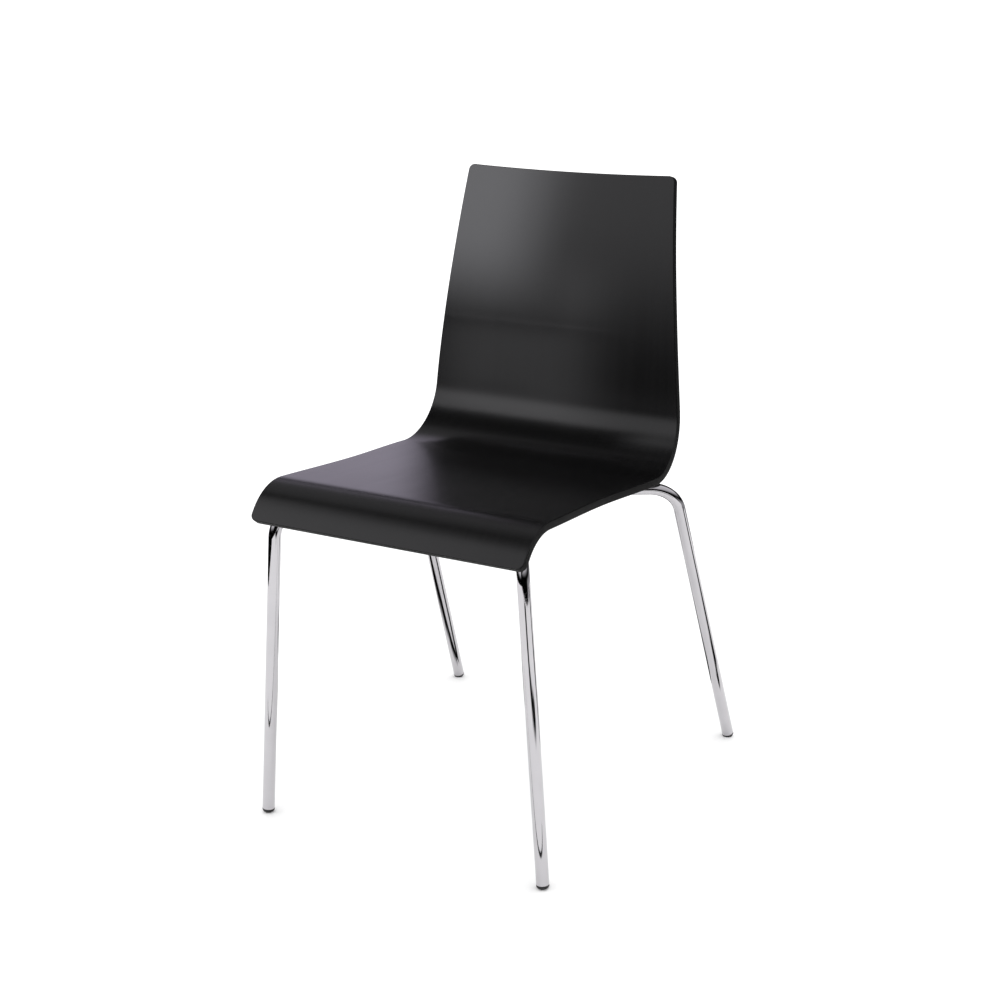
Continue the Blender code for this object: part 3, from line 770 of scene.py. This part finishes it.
def rounded_path(corners, radii, steps):
    """Centreline through the corners, each inner corner rounded with its own radius."""
    path = [corners[0]]
    for index, (radius, count) in enumerate(zip(radii, steps), start=1):
        corner = corners[index]
        before = (corners[index - 1] - corner).normalized()
        after = (corners[index + 1] - corner).normalized()
        half = before.angle(after) / 2
        centre = corner + (before + after).normalized() * (radius / math.sin(half))
        start = corner + before * (radius / math.tan(half)) - centre
        axis = start.cross(corner + after * (radius / math.tan(half)) - centre).normalized()
        for step in range(count + 1):
            turn = Matrix.Rotation((math.pi - 2 * half) * step / count, 3, axis)
            path.append(centre + turn @ start)
    path.append(corners[-1])
    return path


def divided(path, longest):
    """The same path with its long straight steps divided."""
    points = [path[0]]
    for before, after in zip(path, path[1:]):
        parts = max(1, math.ceil((after - before).length / longest))
        points += [before.lerp(after, k / parts) for k in range(1, parts + 1)]
    return points


class Hoop:
    """One bent tube: two legs, two arms under the seat and the bend in the middle."""

    def __init__(self, foot, knee, apex_y):
        self.foot = foot
        self.knee = Vector(knee)
        self.up = (self.knee - self.foot).normalized()
        # In plan, each arm is a tangent from its knee to the circle of the middle bend.
        towards = math.copysign(1.0, knee[1] - apex_y)
        centre = Vector((0.0, apex_y + towards * APEX_R))
        to_centre = centre - Vector(knee[:2])
        lean = math.asin(APEX_R / to_centre.length)
        angle = math.atan2(to_centre.y, to_centre.x) + towards * lean
        vertex_y = knee[1] - knee[0] * math.tan(angle)
        rise = (APEX_Z - knee[2]) / (apex_y - knee[1])
        self.vertex = Vector((0.0, vertex_y, knee[2] + (vertex_y - knee[1]) * rise))
        self.arm = (self.vertex - self.knee).normalized()

    def path(self):
        end = self.foot + self.up * GLIDE_SHOWS
        mirrored = [Vector((-p.x, p.y, p.z)) for p in (self.knee, end)]
        corners = [end, self.knee, self.vertex] + mirrored
        bent = rounded_path(corners, (KNEE_R, APEX_R, KNEE_R), BEND_STEPS)
        return divided(bent, LONGEST_STEP)

    def on_arm(self, distance):
        return self.knee + self.arm * distance


def make_hoop(name, hoop, mat, node):
    """The chromed tube with its bore, open at the ends where the glides plug in."""
    path = hoop.path()
    bm, outer = sweep(path, lambda index: TUBE_R, 40)
    bm, bore = sweep(path, lambda index: TUBE_BORE_R, 40, bm=bm)
    for end in (0, -1):
        loft(bm, [outer[end], bore[end]], [0.0, TUBE_R - TUBE_BORE_R], 2 * math.pi * TUBE_R)
    return make_piece(name, bm, [mat], [node])


def make_centre_plate(mat):
    length, width, thickness = CENTRE_PLATE
    bm = fill_and_extrude([rounded_rectangle(-length / 2, length / 2, -width / 2, width / 2,
                                             PLATE_CORNER_R)], thickness)
    placed(bm, Matrix.Translation((0.0, WELD_LINE_Y, APEX_Z + TUBE_R + 2 * GAP)))
    plate = make_piece("centre_plate", bm, [mat], ["centre_weld_plate"])
    return bevelled(plate, PLATE_BEVEL)


def make_weld(name, path, mat, radius=WELD_R):
    """A rippled bead along a path, tapered at both ends."""
    points = divided(path, WELD_RIPPLE / 5)
    count = len(points) - 1
    step = sum((b - a).length for a, b in zip(points, points[1:])) / count

    def radius_at(index):
        along = index / count
        taper = math.sqrt(max(0.0, 1 - abs(2 * along - 1)**6))
        ripple = 1 - WELD_RIPPLE_DEPTH * ((index * step / WELD_RIPPLE) % 1.0)
        return radius * taper * ripple

    bm, _ = sweep(points, radius_at, WELD_SIDES, closed_ends=True)
    return make_piece(name, bm, [mat], sharp_angle=70.0)


def make_frame_welds(mat):
    """Beads where the two hoops meet, below in the groove and at the plate's corners."""
    z = APEX_Z - TUBE_R * WELD_IN_GROOVE
    ends = [Vector((x, WELD_LINE_Y, z)) for x in (-HOOP_WELD_HALF, HOOP_WELD_HALF)]
    make_weld("weld_hoops_below", ends, mat, HOOP_WELD_R)
    length, width, _ = CENTRE_PLATE
    z = APEX_Z + TUBE_R + GAP
    for side, across in SIDES:
        for end, along in (("front", -1), ("rear", 1)):
            bend = arc((length / 2 - PLATE_CORNER_R, width / 2 - PLATE_CORNER_R),
                       PLATE_CORNER_R + WELD_R * 0.4, 90, 0, 10)
            tail = (bend[0][0] - WELD_TAIL, bend[0][1])
            corner = [Vector((x * across, WELD_LINE_Y + y * along, z)) for x, y in [tail] + bend]
            make_weld("weld_plate_%s_%s" % (end, side), corner, mat)


# ---- fixings

class Fixing:
    """One of the four places where the frame is screwed to the shell.

    Its frame has its origin on the shell's underside and +Z up into the plywood, and
    its +X points at the arm that carries the tab.
    """

    def __init__(self, end, side, mirror, profile, hoop):
        self.place = "%s_%s" % (end, side)
        self.crosses_arm = end == "front"
        distance = FRONT_TAB_FROM_KNEE if self.crosses_arm else REAR_TAB_FROM_KNEE
        beyond = TUBE_R - TAB_PAST_ARM if self.crosses_arm else -TUBE_R - GAP
        self.reach = SCREW_OFFSET + beyond
        point = hoop.on_arm(distance)
        plan = Vector((hoop.arm.x, hoop.arm.y)).normalized()
        across = Vector((-plan.y, plan.x))
        x = (point.x + across.x * SCREW_OFFSET) * mirror
        y = point.y + across.y * SCREW_OFFSET
        to_arm = math.atan2(-across.y, -across.x * mirror)
        self.matrix = (Matrix.Translation(profile.seat_underside(x, y))
                       @ Matrix.Rotation(-math.radians(SEAT_SLOPE), 4, "X")
                       @ Matrix.Rotation(to_arm, 4, "Z"))

    def at(self, height):
        return self.matrix @ Matrix.Translation((0.0, 0.0, height))


def make_fixing(fixing, mats):
    """Insert, spacer, tab, washer, screw and welds of one fixing, from the shell downwards."""
    spacer_low = -GAP - SPACER_T
    tab_low = spacer_low - GAP - TAB_T
    washer_low = tab_low - GAP - WASHER_T
    make_insert(fixing, mats["zinc"])
    make_spacer(fixing, spacer_low, mats["rubber"])
    make_tab(fixing, tab_low, mats["chrome"])
    make_tab_welds(fixing, tab_low, mats["weld"])
    make_washer(fixing, washer_low, mats["zinc"])
    turned_part(fixing, "button_screw", "seat_screw", screw_outline(washer_low - GAP),
                mats["zinc"])


def turned_part(fixing, name, node, outline, mat, low=0.0, sides=36):
    """A turned part on a fixing's axis, for the CAD node of the same place."""
    bm = placed(turned(outline, sides), fixing.at(low))
    make_piece("%s_%s" % (name, fixing.place), bm, [mat], ["%s_%s" % (node, fixing.place)])


def make_insert(fixing, mat):
    """Threaded insert with ridges that grip the plywood."""
    valley = INSERT_R - INSERT_GROOVE
    outline = [(INSERT_BORE_R, GAP), (valley, GAP)]
    pitch = (INSERT_LENGTH - GAP) / INSERT_RIDGES
    for k in range(INSERT_RIDGES):
        z = GAP + k * pitch
        outline += [(valley, z + pitch * 0.2), (INSERT_R, z + pitch * 0.45),
                    (INSERT_R, z + pitch * 0.65), (valley, z + pitch * 0.9)]
    outline += [(valley, INSERT_LENGTH), (INSERT_BORE_R, INSERT_LENGTH)]
    turned_part(fixing, "insert", "threaded_insert", outline, mat)


def make_spacer(fixing, low, mat):
    top = -GAP
    out = SPACER_R - SPACER_CHAMFER
    outline = [(CLEARANCE_HOLE_R, low)]
    outline += arc((out, low + SPACER_CHAMFER), SPACER_CHAMFER, -90, 0, 4)
    outline += arc((out, top - SPACER_CHAMFER), SPACER_CHAMFER, 0, 90, 4)
    outline += [(CLEARANCE_HOLE_R, top)]
    turned_part(fixing, "spacer", "spacer_disc", outline, mat, sides=48)


def make_tab(fixing, low, mat):
    outline = rounded_rectangle(-TAB_TAIL, fixing.reach, -TAB_LENGTH / 2, TAB_LENGTH / 2,
                                TAB_CORNER_R)
    hole = arc((0.0, 0.0), CLEARANCE_HOLE_R, 0, 360, 32)[:-1]
    bm = placed(fill_and_extrude([outline, hole], TAB_T), fixing.at(low))
    tab = make_piece("tab_" + fixing.place, bm, [mat],
                     ["mounting_tab_" + fixing.place])
    bevelled(tab, PLATE_BEVEL)


def make_washer(fixing, low, mat):
    outline = [(CLEARANCE_HOLE_R, 0.0)]
    outline += arc((WASHER_R - WASHER_EDGE_R, WASHER_EDGE_R), WASHER_EDGE_R, -90, 0, 3)
    outline += [(WASHER_R, WASHER_T), (CLEARANCE_HOLE_R, WASHER_T)]
    turned_part(fixing, "flat_washer", "washer", outline, mat, low)


def make_tab_welds(fixing, tab_low, mat):
    """A front tab is welded along both flanks of its arm, a rear tab along its end."""
    half = TAB_LENGTH / 2 - TAB_CORNER_R
    if fixing.crosses_arm:
        lines = {"inner": SCREW_OFFSET - TUBE_R * WELD_IN_GROOVE,
                 "outer": fixing.reach + WELD_R * 0.2}
    else:
        lines = {"end": fixing.reach + WELD_R * 0.1}
    for name, x in lines.items():
        ends = [fixing.matrix @ Vector((x, y, tab_low - WELD_R * 0.25)) for y in (-half, half)]
        make_weld("weld_tab_%s_%s" % (name, fixing.place), ends, mat)


def screw_outline(head_top):
    """Button-head screw, head down, with a hexagonal socket and a rolled thread."""
    head_low = head_top - HEAD_T
    thread_top = SCREW_IN_INSERT - SCREW_CHAMFER
    outline = [(0.0, SCREW_IN_INSERT), (SCREW_R - SCREW_CHAMFER, SCREW_IN_INSERT),
               (SCREW_R, thread_top)]
    turns = int((thread_top - head_top - THREAD_STOPS) / THREAD_PITCH)
    for k in range(turns):
        z = thread_top - k * THREAD_PITCH
        outline += [(SCREW_R - THREAD_DEPTH, z - THREAD_PITCH * 0.5), (SCREW_R, z - THREAD_PITCH)]
    outline += [(SCREW_R, head_top), (HEAD_R - HEAD_CHAMFER, head_top),
                (HEAD_R, head_top - HEAD_CHAMFER)]
    rim = SOCKET_R + SOCKET_RIM
    dome_rise = HEAD_T - HEAD_FLANK
    for k in range(1, 8):
        a = math.radians(k * 90 / 8)
        outline.append((rim + (HEAD_R - rim) * math.cos(a),
                        head_top - HEAD_FLANK - dome_rise * math.sin(a)))
    outline += [(rim, head_low), (SOCKET_R + 0.0001, head_low, 6),
                (SOCKET_R, head_low + 0.0002, 6), (SOCKET_R, head_low + SOCKET_DEPTH, 6),
                (0.0, head_low + SOCKET_DEPTH + 0.0006)]
    return outline


# ---- feet and bumpers

def make_glide(place, hoop, mirror, mat):
    """Plastic foot: a ribbed stem inside the tube and a dome, cut flat at the floor."""
    face = GLIDE_SHOWS - GAP
    outline = [(0.0, GLIDE_DOME_BASE - GLIDE_DOME)]
    outline += [(TUBE_R * math.cos(a), GLIDE_DOME_BASE + GLIDE_DOME * math.sin(a))
                for a in (math.radians(-90 + 90 * k / 14) for k in range(1, 15))]
    outline += arc((TUBE_R - GLIDE_RIM_R, face - GLIDE_RIM_R), GLIDE_RIM_R, 0, 90, 4)
    outline += [(GLIDE_CORE_R, face)]
    for rib in GLIDE_RIBS:
        base = face + rib
        outline += [(GLIDE_CORE_R, base), (GLIDE_STEM_R, base + 0.0008),
                    (GLIDE_STEM_R, base + 0.0018), (GLIDE_CORE_R, base + 0.0026)]
    outline += [(GLIDE_CORE_R - 0.0010, face + GLIDE_STEM_LENGTH), (0.0, face + GLIDE_STEM_LENGTH)]
    bm = turned(outline, 40)
    foot = Vector((hoop.foot.x * mirror, hoop.foot.y, 0.0))
    up = Vector((hoop.up.x * mirror, hoop.up.y, hoop.up.z))
    placed(bm, Matrix.Translation(foot) @ up.to_track_quat("Z", "Y").to_matrix().to_4x4())
    geometry = list(bm.verts) + list(bm.edges) + list(bm.faces)
    cut = bmesh.ops.bisect_plane(bm, geom=geometry, plane_co=(0, 0, 0), plane_no=(0, 0, -1),
                                 clear_outer=True)
    rim = [g for g in cut["geom_cut"] if isinstance(g, bmesh.types.BMEdge)]
    bmesh.ops.contextual_create(bm, geom=rim)
    return make_piece("glide_" + place, bm, [mat], ["foot_glide_" + place])


def make_bumper(place, hoop, mirror, mat):
    """C-shaped clip pushed onto an arm from below; it meets the chair underneath in a stack."""
    half = 180 - BUMPER_OPENING / 2
    bore = TUBE_R + GAP
    outline = arc((0.0, 0.0), BUMPER_R, -90 - half, -90 + half, 40)
    outline += reversed(arc((0.0, 0.0), bore, -90 - half, -90 + half, 40))
    bm = fill_and_extrude([outline], BUMPER_LENGTH)
    arm = Vector((hoop.arm.x * mirror, hoop.arm.y, hoop.arm.z))
    across = Vector((0.0, 0.0, 1.0)).cross(arm).normalized()
    start = hoop.on_arm(BUMPER_FROM_KNEE - BUMPER_LENGTH / 2)
    start.x *= mirror
    turn = Matrix((across, arm.cross(across), -arm)).transposed().to_4x4()
    placed(bm, Matrix.Translation(start + arm * BUMPER_LENGTH) @ turn)
    bumper = make_piece("bumper_" + place, bm, [mat], ["stacking_bumper_" + place])
    return bevelled(bumper, BUMPER_BEVEL)


# ---- studio

def make_camera():
    data = bpy.data.cameras.new("camera")
    data.lens = CAMERA_LENS
    data.sensor_width = 36.0
    data.shift_x, data.shift_y = CAMERA_SHIFT
    camera = bpy.data.objects.new("camera", data)
    bpy.context.collection.objects.link(camera)
    turn = (Matrix.Rotation(math.radians(CAMERA_AZIMUTH), 4, "Z")
            @ Matrix.Rotation(math.radians(90 - CAMERA_ELEVATION), 4, "X")
            @ Matrix.Rotation(math.radians(CAMERA_ROLL), 4, "Z"))
    aim = (cad_box[0] + cad_box[1]) / 2 + Vector(CAMERA_AIM)
    camera.matrix_world = (Matrix.Translation(aim) @ turn
                           @ Matrix.Translation((0.0, 0.0, CAMERA_DISTANCE)))
    bpy.context.scene.camera = camera


def stage_piece(name, bm, mat):
    obj = new_object(name, bm, [mat])
    return obj


def make_floor():
    """A pale round floor; beyond its edge is the white of the studio."""
    bm = bmesh.new()
    bmesh.ops.create_circle(bm, cap_ends=True, segments=96, radius=FLOOR_R)
    bmesh.ops.translate(bm, verts=bm.verts, vec=FLOOR_MIDDLE)
    mat, _, _ = new_material("pale_floor", Base_Color=(0.97, 0.97, 0.97, 1.0),
                             Roughness=0.9, Specular_IOR_Level=0.1)
    stage_piece("floor", bm, mat)


def only_reflected(name, faces, mat):
    """A panel, or a strip of painted shadow, that nothing but a reflection shows; its map runs
    across from 0 to 1.
    """
    bm = bmesh.new()
    across = bm.loops.layers.uv.new("across")
    for corners in faces:
        face = bm.faces.new([bm.verts.new(corner) for corner in corners])
        for loop, place in zip(face.loops, (0.0, 0.0, 1.0, 1.0)):
            loop[across].uv = (place, 0.0)
    panel = stage_piece(name, bm, mat)
    panel.visible_camera = False
    panel.visible_diffuse = False
    panel.visible_shadow = False


def soft_black_material(name, mask_in):
    """Black where a mask is 1, and clear where it is 0."""
    mat, tree, shader = new_material(name, Base_Color=(0.0, 0.0, 0.0, 1.0), Roughness=1.0,
                                     Specular_IOR_Level=0.0)
    faded = add(tree, "MixShader", {0: mask_in(tree), 1: add(tree, "BsdfTransparent").outputs[0],
                                    2: shader.outputs[0]})
    tree.links.new(faded.outputs[0], tree.nodes["Material Output"].inputs["Surface"])
    return mat


def painted_shadow_mask(tree):
    """1 along the middle of a painted shadow strip, fading to 0 at both of its long sides."""
    place = add(tree, "UVMap", uv_map="across").outputs["UV"]
    soft = (1.0 - PAINTED_SHADOW_CORE) / 4
    return inside(tree, add(tree, "SeparateXYZ", {"Vector": place}).outputs["X"],
                  soft, 1.0 - soft, soft)


def barn_door_mask(tree):
    place = add(tree, "SeparateXYZ", {"Vector": in_metres(tree)})
    xs, ys, _ = BARN_DOOR
    return math_node(tree, "MULTIPLY", inside(tree, place.outputs["X"], *xs),
                     inside(tree, place.outputs["Y"], *ys))


def make_painted_shadows():
    """Painted shadows: dark strips on the floor, seen only in reflections, which stand in for the
    chair's cast shadows and draw the dark lines down the chrome.
    """
    black = soft_black_material("soft_black_painted_shadow", painted_shadow_mask)
    for index, points in enumerate(PAINTED_SHADOWS):
        ends = []
        for k, (x, y, width) in enumerate(points):
            before, after = points[max(k - 1, 0)], points[min(k + 1, len(points) - 1)]
            along = Vector((after[0] - before[0], after[1] - before[1], 0.0)).normalized()
            side = Vector((-along.y, along.x, 0.0)) * width * PAINTED_SHADOW_SPREAD / 2
            middle = Vector((x, y, PAINTED_SHADOW_Z))
            ends.append((middle - side, middle + side))
        only_reflected("flag_%d" % (index + 1),
                       [(here[0], there[0], there[1], here[1])
                        for here, there in zip(ends, ends[1:])], black)


def glow_material(name, xs, zs, radiance, tint):
    """Light from a panel's front that fades out at its edges; its back lets light through."""
    mat = bpy.data.materials.new(name)
    mat.use_nodes = True
    tree = mat.node_tree
    tree.nodes.remove(tree.nodes["Principled BSDF"])
    place = add(tree, "SeparateXYZ", {"Vector": in_metres(tree)})
    strength = math_node(tree, "MULTIPLY", inside(tree, place.outputs["X"], *xs),
                         inside(tree, place.outputs["Z"], *zs))
    front = math_node(tree, "SUBTRACT", 1.0, add(tree, "NewGeometry").outputs["Backfacing"])
    strength = math_node(tree, "MULTIPLY", strength, front)
    glow = add(tree, "Emission", {"Color": (*tint, 1.0),
                                  "Strength": math_node(tree, "MULTIPLY", strength, radiance)})
    both = add(tree, "AddShader", {0: add(tree, "BsdfTransparent").outputs[0],
                                   1: glow.outputs[0]})
    tree.links.new(both.outputs[0], tree.nodes["Material Output"].inputs["Surface"])
    return mat


def make_softboxes():
    """Soft panels behind the chair and close to the front of the backrest's left side."""
    for name, xs, zs, y, facing, radiance, tint in SOFTBOXES:
        mat = glow_material("softbox_" + name, xs, zs, radiance, tint)
        (left, right), (low, high) = ((a - soft, b + soft) for a, b, soft in (xs, zs))
        corners = [(right, y, low), (left, y, low), (left, y, high), (right, y, high)]
        only_reflected("softbox_" + name, [corners[::facing]], mat)
    xs, ys, z = BARN_DOOR
    (x0, x1), (y0, y1) = ((a - soft, b + soft) for a, b, soft in (xs, ys))
    only_reflected("barn_door", [((x0, y0, z), (x1, y0, z), (x1, y1, z), (x0, y1, z))],
                   soft_black_material("soft_black_barn_door", barn_door_mask))


def make_world():
    """White for the eye and for soft light; glossy surfaces see the studio's panels."""
    world = bpy.data.worlds.new("studio")
    bpy.context.scene.world = world
    world.use_nodes = True
    tree = world.node_tree
    direction = add(tree, "SeparateXYZ", {"Vector": add(tree, "TexCoord").outputs["Generated"]})
    x, y, z = (direction.outputs[axis] for axis in "XYZ")
    to_degrees = 180 / math.pi
    azimuth = math_node(tree, "MULTIPLY", to_degrees,
                        math_node(tree, "ARCTAN2", x, math_node(tree, "MULTIPLY", y, -1.0)))
    elevation = math_node(tree, "MULTIPLY", math_node(tree, "ARCSINE", z), to_degrees)

    total = None
    for azimuths, elevations, radiance, tint in PANELS:
        mask = math_node(tree, "MULTIPLY", inside(tree, azimuth, *azimuths),
                         inside(tree, elevation, *elevations))
        light = add(tree, "VectorMath", {0: [radiance * c for c in tint], "Scale": mask},
                    operation="SCALE")
        if total is None:
            total = light.outputs[0]
        else:
            total = add(tree, "VectorMath", {0: total, 1: light.outputs[0]},
                        operation="ADD").outputs[0]
    panels = add(tree, "Background", {"Color": total, "Strength": 1.0})
    white = tree.nodes["Background"]
    white.inputs["Color"].default_value = (1.0, 1.0, 1.0, 1.0)
    white.inputs["Strength"].default_value = WHITE_LEVEL
    mixed = add(tree, "MixShader", {0: add(tree, "LightPath").outputs["Is Glossy Ray"],
                                    1: white.outputs[0], 2: panels.outputs[0]})
    tree.links.new(mixed.outputs[0], tree.nodes["World Output"].inputs["Surface"])


def make_studio():
    bpy.context.scene.view_settings.view_transform = "Standard"
    make_world()
    make_floor()
    # painted shadows on the floor, seen only in reflections
    make_painted_shadows()
    make_softboxes()


# ---- assembly

def main():
    mats = {
        "veneer": veneer_material(),
        "ply_edge": ply_edge_material(),
        "chrome": chrome_material(),
        "weld": weld_material(),
        "zinc": zinc_material(),
        "plastic": plastic_material(),
        "rubber": rubber_material(),
    }
    make_camera()
    mounts = {m["name"]: Vector(m["pos_m"]) for m in frame["record"]["mounts"]}
    half_gap = TUBE_R + APEX_GAP / 2
    hoops = {
        "front": Hoop(mounts["foot_front_right"], FRONT_KNEE, WELD_LINE_Y - half_gap),
        "rear": Hoop(mounts["foot_rear_right"], REAR_KNEE, WELD_LINE_Y + half_gap),
    }
    profile = ShellProfile()
    fixings = [Fixing(end, side, mirror, profile, hoop)
               for side, mirror in SIDES for end, hoop in hoops.items()]
    make_shell(profile, fixings, mats["veneer"], mats["ply_edge"])
    for fixing in fixings:
        make_fixing(fixing, mats)
    for end, hoop in hoops.items():
        make_hoop("chromed_tube_" + end, hoop, mats["chrome"], end + "_leg_hoop")
        for side, mirror in SIDES:
            place = "%s_%s" % (end, side)
            make_glide(place, hoop, mirror, mats["plastic"])
            make_bumper(place, hoop, mirror, mats["rubber"])
    make_centre_plate(mats["chrome"])
    make_frame_welds(mats["weld"])
    make_studio()


main()
